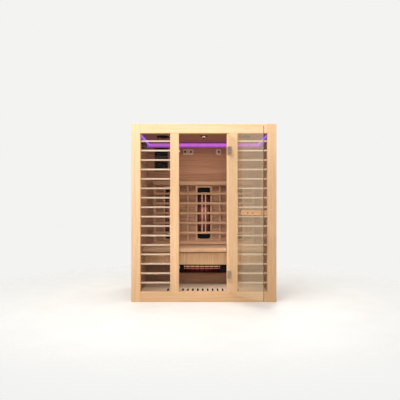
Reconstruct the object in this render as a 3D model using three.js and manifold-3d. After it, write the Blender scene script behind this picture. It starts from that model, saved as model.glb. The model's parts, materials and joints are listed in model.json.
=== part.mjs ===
// Infrared sauna cabin for three people: a timber cabin with a framed front, two slatted windows, a frameless
// glass door that stands open, a bench with a backrest, infrared heaters, lights and fittings.
// Millimetres. X runs to the right, Y runs into the cabin and Z is up.
// The origin lies on the ground, in the middle of the cabin's footprint.

import * as THREE from 'three';
import { mergeVertices } from 'three/addons/utils/BufferGeometryUtils.js';
import Module from 'manifold-3d';

const wasm = await Module();
wasm.setup();

// Cabin
const cabinWidth = 1540;
const cabinDepth = 1100;
const cabinHeight = 1890;
const wallThickness = 54;
const frontThickness = 70;
const roofThickness = 66;
const floorThickness = 56;

// Boards of the walls, ceiling, seat and kickboard
const plankWidth = 89;
const grooveWidth = 6;
const grooveDepth = 3;

// Foot grille in the floor
const footGrilleThickness = 22;
const footGrilleDepth = 250;
const footGrilleSetback = 250;
const slotWidth = 19;
const slotPitch = 57;
const slotLength = 180;
const slotRowWidth = 830;
const slotRowOffset = -13;

// Roof
const ceilingBoard = 12;
const roofBoard = 12;
const roofSkirt = 40;
const powerSupplySize = { width: 260, depth: 180, height: 36 };
const powerSupplySetback = 116;
const inletSize = { width: 50, depth: 46, height: 28 };
const inletSocket = { width: 32, depth: 26, height: 18 };
const inletOffset = 325;

// Front frame
const postWidth = 96;
const topRailHeight = 100;
const bottomRailHeight = 107;
const mullionWidth = 92;
const doorwayWidth = 530;
const hingeJambWidth = 21;
const hingeJambSetback = 6;

// Windows
const windowShoulder = 40;
const windowRebate = 15;
const paneThickness = 6;
const slatThickness = 20;
const slatHeight = 18;
const slatPitch = 101;
const slatTenon = 2;
const slatRise = 5.5;

// Door glass
const glassThickness = 8;
const glassStandOff = 5;
const glassOverlapSide = 11;
const glassOverlapTop = 7;
const glassOverlapBottom = 18;
const doorOpenAngle = 128;

// Hinges
const hingeAxisInset = 9;
const hingeFromTop = 192;
const hingeFromBottom = 203;
const hingeHeight = 75;
const hingeLeafWidth = 38;
const hingeLeafPlate = 3;
const hingeWeb = 4.5;
const hingeBasePlate = 3.5;
const hingeBaseMargin = 2;
const hingeArm = 8;
const knuckleRadius = 6.5;
const pinRadius = 3;
const pinHead = 2;

// Magnet catches and strikes
const catchFromTop = 190;
const catchFromBottom = 259;
const catchWidth = 9;
const catchDepth = 38;
const catchHeight = 26;
const catchGap = 0.5;
const strikeThickness = 1.5;
const strikeMargin = 1;

// Door handle
const handleLength = 280;
const handleHeight = 48;
const handleInnerThickness = 24;
const handleOuterThickness = 28;
const handleStandOff = 40;
const handleEdgeGap = 20;
const handleRise = 5.5;
const handleCorner = 8;
const boltSpacing = 74;
const spacerRadius = 11;
const studRadius = 4;

// Bench
const benchTop = 522;
const benchDepth = 488;
const seatThickness = 27;
const nosingThickness = 22;
const nosingHeight = 50;
const cleatWidth = 34;
const cleatHeight = 40;
const kickboardSetback = 167;
const kickboardThickness = 18;
const kickboardHeight = 183;

// Backrest
const backrestWidth = 1272;
const backrestGap = 17;
const backrestFromPanel = 129;
const backrestTopRail = 48;
const backrestBottomRail = 35;
const backrestSlat = 26;
const backrestSlatCount = 5;
const backrestSlatThickness = 18;
const backrestStandOff = 62;
const backrestStile = 30;
const backrestUpright = 17;
const heaterStrip = 22;
const heaterStripThickness = 16;
const backrestHousing = 4;

// Back heaters
const heaterPitch = 405;
const heaterWidth = 158;
const heaterFromRail = 34;
const heaterDepth = 42;
const heaterCap = 58;
const heaterCorner = 30;
const heaterWall = 10;
const heaterFloor = 8;
const heaterStripGap = 3;
const heaterTubeRadius = 5.5;
const heaterTubeSpacing = 44;
const heaterBlock = 18;

// Kick heater
const kickHeaterWidth = 620;
const kickHeaterOffset = -22;
const kickHeaterHeight = 98;
const kickHeaterDepth = 62;
const kickHeaterCap = 78;
const kickHeaterWall = 4;
const kickTubeRadius = 5;
const kickTubeSpacing = 25;
const kickTubeRise = 12;
const kickBlock = 14;
const guardPitch = 57;
const guardWire = 6;
const guardReach = 35;

// Lights and speakers
const ledDrop = 8;
const ledHeight = 56;
const ledThickness = 30;
const lampRadius = 42;
const lampBodyRadius = 30;
const lampFlange = 8;
const lampBodyHeight = 30;
const lampLensRadius = 18;
const lampLensDrop = 14;
const lampFinialRadius = 9;
const lampFinialDrop = 12;
const lampSetback = 456;
const speakerRadius = 70;
const speakerBodyRadius = 58;
const speakerFlange = 18;
const speakerBodyHeight = 38;
const speakerFromWall = 243;
const speakerSetback = 475;

// Control panel, hook rails and ioniser
const controlWidth = 169;
const controlHeight = 296;
const controlDepth = 14;
const controlMargin = 6;
const controlBar = 22;
const controlKeysHeight = 98;
const controlFace = 4;
const controlGlass = 4;
const controlLap = 3;
const controlFromCorner = 93;
const controlFromLed = 5;
const hookRailHeight = 76;
const hookRailThickness = 14;
const hookRailDrop = 85;
const hookSpacing = 72;
const hookRails = {
  left: { centre: -198, width: 134, pegs: 2 },
  right: { centre: 188, width: 68, pegs: 1 },
};
const pegRadius = 8;
const pegLength = 44;
const pegHeadRadius = 12;
const pegHeadLength = 9;
const ioniserRadius = 38;
const ioniserBase = 38;
const ioniserCapRadius = 29;
const ioniserCap = 16;
const ioniserSetback = 500;
const ioniserFromLed = 2;

// Fits
const fitGap = 0.3;
const rebateGap = 0.5;
const boreGap = 1;
const cutMargin = 1;
const roundSides = 24;
const smallSides = 12;
const arcSteps = 4;

// Planes and heights shared by the pieces
const outerHalf = cabinWidth / 2;
const innerHalf = outerHalf - wallThickness;
const frontFace = -cabinDepth / 2;
const frontBack = frontFace + frontThickness;
const backFace = cabinDepth / 2;
const backInner = backFace - wallThickness;
const wallTop = cabinHeight - roofThickness;
const ceilingTop = wallTop + ceilingBoard;
const postInner = outerHalf - postWidth;
const openingBottom = bottomRailHeight;
const openingTop = cabinHeight - topRailHeight;
const doorwayHalf = doorwayWidth / 2;
const mullionOuter = doorwayHalf + mullionWidth;
const shoulderFace = frontFace + windowShoulder;
const jambFace = frontFace + hingeJambSetback;
const hingeAxisX = doorwayHalf - hingeAxisInset;
const hingeAxisY = frontFace - glassStandOff - glassThickness / 2;
const glassHalf = glassThickness / 2;
const glassBottom = openingBottom - glassOverlapBottom;
const glassTop = openingTop + glassOverlapTop;
const doorReach = hingeAxisX + doorwayHalf + glassOverlapSide;
const catchHeights = { upper: openingTop - catchFromTop, lower: openingBottom + catchFromBottom };
const hingeHeights = { upper: glassTop - hingeFromTop, lower: glassBottom + hingeFromBottom };
const benchFront = backInner - benchDepth;
const seatUnderside = benchTop - seatThickness;
const kickboardFace = benchFront + kickboardSetback;
const kickboardBottom = seatUnderside - kickboardHeight;
const ledTop = wallTop - ledDrop;
const ledBottom = ledTop - ledHeight;
const controlTop = ledBottom - controlFromLed;
const controlBottom = controlTop - controlHeight;
const backrestBottom = benchTop + backrestGap;
const backrestTop = controlBottom - backrestFromPanel;
const slatZone = [backrestBottom + backrestBottomRail, backrestTop - backrestTopRail];
const heaterZ = [slatZone[0] + heaterFromRail, slatZone[1] - heaterFromRail];
const speakerX = innerHalf - speakerFromWall;

// Finishes
function finish(color, roughness, metalness = 0) {
  return new THREE.MeshStandardMaterial({ color, roughness, metalness });
}

const paleTimber = () => finish(0xe8c094, 0.6);
const innerTimber = () => finish(0xc99a6c, 0.65);
const slatTimber = () => finish(0xf0d0a8, 0.6);
const handleTimber = () => finish(0xeaae76, 0.55);
const clearGlass = () => finish(0xdfe8e2, 0.08);
const blackPlastic = () => finish(0x161210, 0.5);
const blackGlass = () => finish(0x0c0a0b, 0.12);
const greyMetal = () => finish(0xa9a39a, 0.35, 0.9);
const heaterTube = () => finish(0xe06a38, 0.45);
const violetLight = () => finish(0xb46ad0, 0.4);
const whitePlastic = () => finish(0xeeeae4, 0.45);

// Solids and their joins and cuts
const span = (side, near, far) => [Math.min(side * near, side * far), Math.max(side * near, side * far)];
const around = (centre, size) => [centre - size / 2, centre + size / 2];

function slab(x, y, z) {
  const geometry = new THREE.BoxGeometry(x[1] - x[0], y[1] - y[0], z[1] - z[0]);
  return geometry.translate((x[0] + x[1]) / 2, (y[0] + y[1]) / 2, (z[0] + z[1]) / 2);
}

// A round bar along one axis: the two other coordinates of its centre line, in x, y, z order, and its ends.
function rod(axis, radius, centre, ends, sides = smallSides) {
  const geometry = new THREE.CylinderGeometry(radius, radius, ends[1] - ends[0], sides);
  const middle = (ends[0] + ends[1]) / 2;
  if (axis === 'x') return geometry.rotateZ(Math.PI / 2).translate(middle, centre[0], centre[1]);
  if (axis === 'z') return geometry.rotateX(Math.PI / 2).translate(centre[0], centre[1], middle);
  return geometry.translate(centre[0], middle, centre[1]);
}

function roundedOutline(width, height, radius) {
  const x = width / 2 - radius;
  const y = height / 2 - radius;
  const outline = new THREE.Shape();
  outline.absarc(x, y, radius, 0, Math.PI / 2);
  outline.absarc(-x, y, radius, Math.PI / 2, Math.PI);
  outline.absarc(-x, -y, radius, Math.PI, Math.PI * 1.5);
  outline.absarc(x, -y, radius, Math.PI * 1.5, Math.PI * 2);
  return outline;
}

// A plate with a rounded outline that stands upright and faces the front.
function uprightPlate(x, y, z, radius) {
  const outline = roundedOutline(x[1] - x[0], z[1] - z[0], radius);
  const depth = y[1] - y[0];
  const options = { depth, bevelEnabled: false, curveSegments: arcSteps };
  const geometry = new THREE.ExtrudeGeometry(outline, options);
  return geometry.rotateX(Math.PI / 2).translate((x[0] + x[1]) / 2, y[1], (z[0] + z[1]) / 2);
}

// A boarded panel: planks side by side along u, carried along w, grooved at the joints of the chosen faces
function boardedPanel({ u, v, w, grooves, axes, corner }) {
  const points = [];
  const joints = [];
  for (let joint = plankWidth; joint < u - grooveWidth; joint += plankWidth) joints.push(joint);
  const face = (level, depth, order) => {
    for (const joint of order) {
      points.push([joint - depth.turn * grooveWidth / 2, level]);
      points.push([joint, level + depth.inward * grooveDepth]);
      points.push([joint + depth.turn * grooveWidth / 2, level]);
    }
  };
  points.push([0, 0]);
  if (grooves.low) face(0, { turn: 1, inward: 1 }, joints);
  points.push([u, 0], [u, v]);
  if (grooves.high) face(v, { turn: -1, inward: -1 }, [...joints].reverse());
  points.push([0, v]);
  const outline = new THREE.Shape(points.map(([along, deep]) => new THREE.Vector2(along, deep)));
  const geometry = new THREE.ExtrudeGeometry(outline, { depth: w, bevelEnabled: false });
  const place = new THREE.Matrix4().makeBasis(...axes).setPosition(...corner);
  return geometry.applyMatrix4(place);
}

function toSolid(geometry) {
  const bare = geometry.clone();
  bare.deleteAttribute('normal');
  bare.deleteAttribute('uv');
  const merged = mergeVertices(bare);
  const vertProperties = new Float32Array(merged.attributes.position.array);
  const triVerts = new Uint32Array(merged.index.array);
  return new wasm.Manifold(new wasm.Mesh({ numProp: 3, vertProperties, triVerts }));
}

function toGeometry(solid) {
  const { vertProperties, triVerts } = solid.getMesh();
  const geometry = new THREE.BufferGeometry();
  geometry.setAttribute('position', new THREE.BufferAttribute(vertProperties, 3));
  geometry.setIndex(new THREE.BufferAttribute(triVerts, 1));
  geometry.computeVertexNormals();
  return geometry;
}

const joinSolids = (geometries) => geometries.map(toSolid).reduce((whole, piece) => whole.add(piece));
const join = (...geometries) => toGeometry(joinSolids(geometries));
const cut = (geometry, ...tools) => toGeometry(toSolid(geometry).subtract(joinSolids(tools)));

const alongX = new THREE.Vector3(1, 0, 0);
const alongY = new THREE.Vector3(0, 1, 0);
const alongZ = new THREE.Vector3(0, 0, 1);
const towardFront = new THREE.Vector3(0, -1, 0);

const cabin = new THREE.Group();
const door = new THREE.Group();
door.position.set(hingeAxisX, hingeAxisY, 0);
door.rotation.z = THREE.MathUtils.degToRad(doorOpenAngle);
cabin.add(door);

function place(name, geometry, material, group = cabin) {
  const mesh = new THREE.Mesh(geometry, material);
  mesh.name = name;
  group.add(mesh);
}

const sides = { left: -1, right: 1 };

// Walls, boarded on both faces
function buildWalls() {
  const length = backInner - frontBack;
  for (const [name, side] of Object.entries(sides)) {
    const wall = boardedPanel({
      u: wallTop, v: wallThickness, w: length, grooves: { low: true, high: true },
      axes: [alongZ, alongX, alongY], corner: [span(side, innerHalf, outerHalf)[0], frontBack, 0],
    });
    place(`${name}_wall`, wall, innerTimber());
  }
  const back = boardedPanel({
    u: wallTop, v: wallThickness, w: cabinWidth, grooves: { low: true, high: true },
    axes: [alongZ, towardFront, alongX], corner: [-outerHalf, backFace, 0],
  });
  place('back_wall', back, innerTimber());
}

// Floor boards with the slotted foot grille and its heater between them
function buildFloor() {
  const across = [-innerHalf, innerHalf];
  const grilleY = [frontBack + footGrilleSetback, frontBack + footGrilleSetback + footGrilleDepth];
  const grilleUnderside = floorThickness - footGrilleThickness;
  place('floor_board_front', slab(across, [frontBack, grilleY[0]], [0, floorThickness]), innerTimber());
  place('floor_board_rear', slab(across, [grilleY[1], backInner], [0, floorThickness]), innerTimber());
  place('foot_heater', slab(across, grilleY, [0, grilleUnderside]), blackPlastic());

  const slotCount = Math.floor((slotRowWidth - slotWidth) / slotPitch) + 1;
  const middleY = (grilleY[0] + grilleY[1]) / 2;
  const straight = slotLength - slotWidth;
  const depthRange = [grilleUnderside - cutMargin, floorThickness + cutMargin];
  const slots = [];
  for (let index = 0; index < slotCount; index += 1) {
    const x = slotRowOffset + (index - (slotCount - 1) / 2) * slotPitch;
    slots.push(slab(around(x, slotWidth), around(middleY, straight), depthRange));
    slots.push(rod('z', slotWidth / 2, [x, middleY - straight / 2], depthRange));
    slots.push(rod('z', slotWidth / 2, [x, middleY + straight / 2], depthRange));
  }
  const grille = slab(across, grilleY, [grilleUnderside, floorThickness]);
  place('foot_grille', cut(grille, ...slots), innerTimber());
}

// Ceiling with its lamp and speakers, and the roof cover with what it houses
function buildRoof() {
  const lampY = frontFace + lampSetback;
  const speakerY = frontFace + speakerSetback;
  const through = [wallTop - cutMargin, ceilingTop + cutMargin];
  const ceiling = boardedPanel({
    u: backFace - frontBack, v: ceilingBoard, w: cabinWidth, grooves: { low: true, high: false },
    axes: [alongY, alongZ, alongX], corner: [-outerHalf, frontBack, wallTop],
  });
  const holes = [rod('z', lampBodyRadius + boreGap, [0, lampY], through, roundSides)];
  for (const side of Object.values(sides)) {
    holes.push(rod('z', speakerBodyRadius + boreGap, [side * speakerX, speakerY], through, roundSides));
  }
  place('ceiling_panel', cut(ceiling, ...holes), innerTimber());

  for (const [name, side] of Object.entries(sides)) {
    const centre = [side * speakerX, speakerY];
    const flange = rod('z', speakerRadius, centre, [wallTop - speakerFlange, wallTop], roundSides);
    const bodyEnds = [wallTop - speakerFlange, wallTop + speakerBodyHeight];
    const body = rod('z', speakerBodyRadius, centre, bodyEnds, roundSides);
    place(`speaker_${name}`, join(flange, body), blackPlastic());
  }

  const flangeEnd = wallTop - lampFlange;
  const lensEnd = flangeEnd - lampLensDrop;
  const lampTurned = [
    rod('z', lampRadius, [0, lampY], [flangeEnd, wallTop], roundSides),
    rod('z', lampBodyRadius, [0, lampY], [flangeEnd, wallTop + lampBodyHeight], roundSides),
    rod('z', lampLensRadius, [0, lampY], [lensEnd, wallTop], roundSides),
    rod('z', lampFinialRadius, [0, lampY], [lensEnd - lampFinialDrop, wallTop]),
  ];
  place('ceiling_lamp', join(...lampTurned), whitePlastic());

  const inletX = around(inletOffset, inletSize.width);
  const inletY = [backFace - inletSize.depth, backFace];
  const inletZ = around((ceilingTop + cabinHeight - roofBoard) / 2, inletSize.height);
  const socket = slab(
    around(inletOffset, inletSocket.width),
    [backFace - inletSocket.depth, backFace + cutMargin],
    around((inletZ[0] + inletZ[1]) / 2, inletSocket.height),
  );
  place('mains_inlet', cut(slab(inletX, inletY, inletZ), socket), blackPlastic());

  const cover = slab([-outerHalf, outerHalf], [frontBack, backFace], [ceilingTop, cabinHeight]);
  const cavity = slab(
    [roofSkirt - outerHalf, outerHalf - roofSkirt],
    [frontBack - cutMargin, backFace - roofSkirt],
    [ceilingTop - cutMargin, cabinHeight - roofBoard],
  );
  const inletHole = slab(
    around(inletOffset, inletSize.width + 2 * fitGap),
    [backFace - roofSkirt - cutMargin, backFace + cutMargin],
    around((inletZ[0] + inletZ[1]) / 2, inletSize.height + 2 * fitGap),
  );
  place('roof_cover', cut(cover, cavity, inletHole), innerTimber());

  const supplyY = [backInner - powerSupplySetback - powerSupplySize.depth, backInner - powerSupplySetback];
  const supplyZ = [ceilingTop, ceilingTop + powerSupplySize.height];
  place('power_supply', slab(around(0, powerSupplySize.width), supplyY, supplyZ), greyMetal());
}

// Front frame: full-height posts, rails between them, mullions between the rails and the hinge jamb strip
function buildFront() {
  const depth = [frontFace, frontBack];
  const opening = [openingBottom, openingTop];
  const rebateOf = (side) => slab(
    span(side, mullionOuter - windowRebate, postInner + windowRebate),
    [shoulderFace, frontBack + cutMargin],
    [openingBottom - windowRebate, openingTop + windowRebate],
  );
  const rails = {
    front_top_rail: [openingTop, cabinHeight],
    front_bottom_rail: [0, openingBottom],
  };
  for (const [name, height] of Object.entries(rails)) {
    const rail = slab([-postInner, postInner], depth, height);
    place(name, cut(rail, rebateOf(sides.left), rebateOf(sides.right)), paleTimber());
  }
  for (const [name, side] of Object.entries(sides)) {
    const post = slab(span(side, postInner, outerHalf), depth, [0, cabinHeight]);
    const mullion = slab(span(side, doorwayHalf, mullionOuter), depth, opening);
    place(`front_post_${name}`, cut(post, rebateOf(side)), paleTimber());
    place(`mullion_${name}`, cut(mullion, rebateOf(side)), paleTimber());
  }
  const jamb = slab([doorwayHalf - hingeJambWidth, doorwayHalf], [jambFace, frontBack], opening);
  place('hinge_jamb', jamb, innerTimber());
}

// Windows: a pane against the shoulder of the rebate, and a slat frame behind it
function buildWindows() {
  const outerX = [mullionOuter - windowRebate + rebateGap, postInner + windowRebate - rebateGap];
  const outerZ = [openingBottom - windowRebate + rebateGap, openingTop + windowRebate - rebateGap];
  const paneBack = shoulderFace + paneThickness;
  const frameY = [paneBack, paneBack + slatThickness];
  const openingHeight = openingTop - openingBottom;
  const slatCount = Math.floor((openingHeight - slatHeight) / slatPitch);
  const middleZ = (openingBottom + openingTop) / 2 + slatRise;
  for (const [name, side] of Object.entries(sides)) {
    const pane = slab(span(side, outerX[0], outerX[1]), [shoulderFace, paneBack], outerZ);
    place(`window_pane_${name}`, pane, clearGlass());
    const frame = [
      slab(span(side, outerX[0], mullionOuter), frameY, outerZ),
      slab(span(side, postInner, outerX[1]), frameY, outerZ),
      slab(span(side, outerX[0], outerX[1]), frameY, [outerZ[0], openingBottom]),
      slab(span(side, outerX[0], outerX[1]), frameY, [openingTop, outerZ[1]]),
    ];
    for (let index = 0; index < slatCount; index += 1) {
      const z = middleZ + (index - (slatCount - 1) / 2) * slatPitch;
      const slatX = span(side, mullionOuter - slatTenon, postInner + slatTenon);
      frame.push(slab(slatX, frameY, around(z, slatHeight)));
    }
    place(`window_slats_${name}`, join(...frame), slatTimber());
  }
}

// Door: the glass with its handles and strikes, written as if closed and turned open by its group
function buildDoor() {
  const boltX = [-1, 1].map((end) => handleEdgeGap + handleLength / 2 - doorReach + end * boltSpacing / 2);
  const handleX = [handleEdgeGap - doorReach, handleEdgeGap - doorReach + handleLength];
  const handleMiddle = (glassBottom + glassTop) / 2 + handleRise;
  const handleZ = around(handleMiddle, handleHeight);
  const innerY = [glassHalf + fitGap, glassHalf + fitGap + handleInnerThickness];
  const spacerY = [-glassHalf - fitGap - handleStandOff, -glassHalf - fitGap];
  const barY = [spacerY[0] - handleOuterThickness, spacerY[0]];
  const boresFor = (ends) => boltX.map((x) => rod('y', studRadius + fitGap, [x, handleMiddle], ends));

  const leafEdge = knuckleRadius + 2 * fitGap + hingeWeb + fitGap;
  const glass = slab([-doorReach, -leafEdge], [-glassHalf, glassHalf], [glassBottom, glassTop]);
  const glassBores = boresFor([-glassHalf - cutMargin, glassHalf + cutMargin]);
  place('door_glass', cut(glass, ...glassBores), clearGlass(), door);

  const innerBar = uprightPlate(handleX, innerY, handleZ, handleCorner);
  const innerBores = boresFor([innerY[0] - cutMargin, innerY[1] + cutMargin]);
  place('door_handle_inner', cut(innerBar, ...innerBores), handleTimber(), door);

  const outer = [uprightPlate(handleX, barY, handleZ, handleCorner)];
  for (const x of boltX) {
    outer.push(rod('y', spacerRadius, [x, handleMiddle], [spacerY[0] - cutMargin, spacerY[1]]));
    outer.push(rod('y', studRadius, [x, handleMiddle], [spacerY[0], innerY[1]]));
  }
  place('door_handle_outer', join(...outer), handleTimber(), door);

  for (const [name, z] of Object.entries(catchHeights)) {
    const catchX = [-doorwayHalf, -doorwayHalf + catchWidth];
    const strikeX = [catchX[0] + strikeMargin - hingeAxisX, catchX[1] - strikeMargin - hingeAxisX];
    const strikeY = [glassHalf + fitGap, glassHalf + fitGap + strikeThickness];
    const catchFront = hingeAxisY + strikeY[1] + catchGap;
    const strike = slab(strikeX, strikeY, around(z, catchHeight - 2 * strikeMargin));
    place(`strike_${name}`, strike, greyMetal(), door);
    const block = slab(catchX, [catchFront, catchFront + catchDepth], around(z, catchHeight));
    place(`catch_${name}`, block, whitePlastic());
  }
}

// Hinges: a base on the jamb strip, a leaf that clamps the glass and a pin
function buildHinges() {
  const third = hingeHeight / 3;
  const webNear = knuckleRadius + 2 * fitGap;
  const webFar = webNear + hingeWeb;
  const plateInner = glassHalf + fitGap;
  const plateOuter = plateInner + hingeLeafPlate;
  const baseFront = jambFace - hingeBasePlate;
  for (const [name, z] of Object.entries(hingeHeights)) {
    const full = around(z, hingeHeight);
    const middle = around(z, third - 2 * fitGap);
    const boreEnds = [full[0] - cutMargin, full[1] + cutMargin];

    const leaf = join(
      slab([-webFar - hingeLeafWidth, -webNear], [-plateOuter, -plateInner], full),
      slab([-webFar - hingeLeafWidth, -webNear], [plateInner, plateOuter], full),
      slab([-webFar, -webNear], [-plateOuter, plateOuter], full),
      slab([-webFar, 0], around(0, hingeArm), middle),
      rod('z', knuckleRadius, [0, 0], middle),
    );
    const leafBore = rod('z', pinRadius + fitGap, [0, 0], boreEnds);
    place(`hinge_${name}_leaf`, cut(leaf, leafBore), greyMetal(), door);

    const axis = [hingeAxisX, hingeAxisY];
    const baseX = [doorwayHalf - hingeJambWidth + hingeBaseMargin, doorwayHalf - hingeBaseMargin];
    const base = [slab(baseX, [baseFront, jambFace], full)];
    for (const knuckle of [[full[0], z - third / 2], [z + third / 2, full[1]]]) {
      base.push(slab(around(hingeAxisX, hingeArm), [hingeAxisY, baseFront + hingeBasePlate / 2], knuckle));
      base.push(rod('z', knuckleRadius, axis, knuckle));
    }
    const baseBore = rod('z', pinRadius + fitGap, axis, boreEnds);
    place(`hinge_${name}_base`, cut(join(...base), baseBore), greyMetal());

    const pin = join(
      rod('z', pinRadius, axis, [full[0], full[1] + pinHead]),
      rod('z', knuckleRadius, axis, [full[1], full[1] + pinHead]),
    );
    place(`hinge_${name}_pin`, pin, greyMetal());
  }
}

// Bench: a boarded seat on wall cleats, its nosing and the kickboard that hangs below it
function buildBench() {
  const across = [-innerHalf, innerHalf];
  const seatFront = benchFront + nosingThickness;
  const seat = boardedPanel({
    u: backInner - seatFront, v: seatThickness, w: 2 * innerHalf, grooves: { low: false, high: true },
    axes: [alongY, alongZ, alongX], corner: [-innerHalf, seatFront, seatUnderside],
  });
  place('bench_seat', seat, innerTimber());
  const nosing = slab(across, [benchFront, seatFront], [benchTop - nosingHeight, benchTop]);
  place('bench_nosing', nosing, innerTimber());

  const cleatZ = [seatUnderside - cleatHeight, seatUnderside];
  const cleats = {};
  for (const [name, side] of Object.entries(sides)) {
    cleats[name] = slab(span(side, innerHalf - cleatWidth, innerHalf), [seatFront, backInner], cleatZ);
    place(`seat_cleat_${name}`, cleats[name], innerTimber());
  }
  const board = boardedPanel({
    u: 2 * innerHalf, v: kickboardThickness, w: kickboardHeight, grooves: { low: true, high: false },
    axes: [alongX, alongY, alongZ], corner: [-innerHalf, kickboardFace, kickboardBottom],
  });
  place('bench_kickboard', cut(board, cleats.left, cleats.right), innerTimber());
}

// Backrest: rails and slats in front, uprights behind them on the wall, and a strip frame round each heater
function buildBackrest() {
  const slatBack = backInner - backrestStandOff;
  const slatY = [slatBack - backrestSlatThickness, slatBack];
  const uprightY = [slatBack - backrestHousing, backInner];
  const stripY = [slatBack - backrestHousing, slatBack - backrestHousing + heaterStripThickness];
  const across = around(0, backrestWidth);
  const height = [backrestBottom, backrestTop];
  const slatGap = (slatZone[1] - slatZone[0] - backrestSlatCount * backrestSlat) / (backrestSlatCount + 1);
  const pieces = [
    slab(across, slatY, [slatZone[1], backrestTop]),
    slab(across, slatY, [backrestBottom, slatZone[0]]),
  ];
  for (let index = 0; index < backrestSlatCount; index += 1) {
    const low = slatZone[0] + slatGap + index * (slatGap + backrestSlat);
    pieces.push(slab(across, slatY, [low, low + backrestSlat]));
  }
  for (const side of Object.values(sides)) {
    pieces.push(slab(around(side * heaterPitch / 2, backrestUpright), uprightY, height));
    pieces.push(slab(span(side, backrestWidth / 2 - backrestStile, backrestWidth / 2), uprightY, height));
  }
  const holeHalf = heaterWidth / 2 + heaterStripGap;
  const holeZ = [heaterZ[0] - heaterStripGap, heaterZ[1] + heaterStripGap];
  const frameZ = [holeZ[0] - heaterStrip, holeZ[1] + heaterStrip];
  for (const x of [-heaterPitch, 0, heaterPitch]) {
    for (const side of Object.values(sides)) {
      const [near, far] = span(side, holeHalf, holeHalf + heaterStrip);
      pieces.push(slab([x + near, x + far], stripY, frameZ));
    }
    const frameX = around(x, 2 * (holeHalf + heaterStrip));
    pieces.push(slab(frameX, stripY, [frameZ[0], holeZ[0]]));
    pieces.push(slab(frameX, stripY, [holeZ[1], frameZ[1]]));
  }
  place('backrest_grille', join(...pieces), slatTimber());
}

// Back heaters: a housing with round-cornered caps and an open front, and a twin tube element in it
function buildBackHeaters() {
  const pocketZ = [heaterZ[0] + heaterCap, heaterZ[1] - heaterCap];
  const housingY = [backInner - heaterDepth, backInner];
  const tubeY = (housingY[0] + housingY[1] - heaterFloor) / 2;
  const places = { left: -heaterPitch, middle: 0, right: heaterPitch };
  for (const [name, x] of Object.entries(places)) {
    const housing = uprightPlate(around(x, heaterWidth), housingY, heaterZ, heaterCorner);
    const pocket = slab(
      around(x, heaterWidth - 2 * heaterWall),
      [housingY[0] - cutMargin, housingY[1] - heaterFloor],
      pocketZ,
    );
    place(`back_heater_housing_${name}`, cut(housing, pocket), blackPlastic());

    const blockWidth = heaterTubeSpacing + 2 * heaterBlock;
    const blockY = around(tubeY, heaterBlock);
    const element = [
      slab(around(x, blockWidth), blockY, [pocketZ[0] + fitGap, pocketZ[0] + heaterBlock]),
      slab(around(x, blockWidth), blockY, [pocketZ[1] - heaterBlock, pocketZ[1] - fitGap]),
    ];
    for (const side of Object.values(sides)) {
      const centre = [x + side * heaterTubeSpacing / 2, tubeY];
      const tubeZ = [pocketZ[0] + heaterBlock / 2, pocketZ[1] - heaterBlock / 2];
      element.push(rod('z', heaterTubeRadius, centre, tubeZ));
    }
    place(`back_heater_element_${name}`, join(...element), heaterTube());
  }
}

// Kick heater: an open trough under the kickboard, a twin tube element and a wire guard
function buildKickHeater() {
  const housingX = around(kickHeaterOffset, kickHeaterWidth);
  const housingY = [kickboardFace, kickboardFace + kickHeaterDepth];
  const housingZ = [kickboardBottom - kickHeaterHeight, kickboardBottom];
  const pocketX = [housingX[0] + kickHeaterCap, housingX[1] - kickHeaterCap];
  const pocketY = [housingY[0], housingY[1] - kickHeaterWall];
  const pocketZ = [housingZ[0] + kickHeaterWall, housingZ[1] - kickHeaterWall];
  const pocket = slab(pocketX, [pocketY[0] - cutMargin, pocketY[1]], pocketZ);
  place('kick_heater_housing', cut(slab(housingX, housingY, housingZ), pocket), blackPlastic());

  const tubeY = (pocketY[0] + pocketY[1]) / 2;
  const middleZ = (pocketZ[0] + pocketZ[1]) / 2;
  const tubesZ = middleZ + kickTubeRise;
  const blockZ = around(tubesZ, kickTubeSpacing + 2 * kickBlock);
  const blockY = around(tubeY, kickBlock);
  const element = [
    slab([pocketX[0] + fitGap, pocketX[0] + kickBlock], blockY, blockZ),
    slab([pocketX[1] - kickBlock, pocketX[1] - fitGap], blockY, blockZ),
  ];
  for (const level of [-1, 1]) {
    const centre = [tubeY, tubesZ + level * kickTubeSpacing / 2];
    element.push(rod('x', kickTubeRadius, centre, [pocketX[0] + kickBlock / 2, pocketX[1] - kickBlock / 2]));
  }
  place('kick_heater_element', join(...element), heaterTube());

  const wireY = [pocketY[0] + guardWire, pocketY[0] + 2 * guardWire];
  const wireCount = Math.floor((pocketX[1] - pocketX[0] - guardWire) / guardPitch);
  const wireLevels = [-1, 1].map((level) => middleZ + level * guardReach);
  const guard = wireLevels.map((z) => slab(pocketX, wireY, around(z, guardWire)));
  for (let index = 0; index < wireCount; index += 1) {
    const x = kickHeaterOffset + (index - (wireCount - 1) / 2) * guardPitch;
    guard.push(slab(around(x, guardWire), wireY, pocketZ));
  }
  place('kick_heater_guard', join(...guard), greyMetal());
}

// Light strip under the ceiling, round the two side walls and the back wall
function buildLightStrip() {
  const height = [ledBottom, ledTop];
  const strip = join(
    slab([-innerHalf, ledThickness - innerHalf], [frontBack, backInner], height),
    slab([innerHalf - ledThickness, innerHalf], [frontBack, backInner], height),
    slab([-innerHalf, innerHalf], [backInner - ledThickness, backInner], height),
  );
  place('light_strip', strip, violetLight());
}

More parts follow.
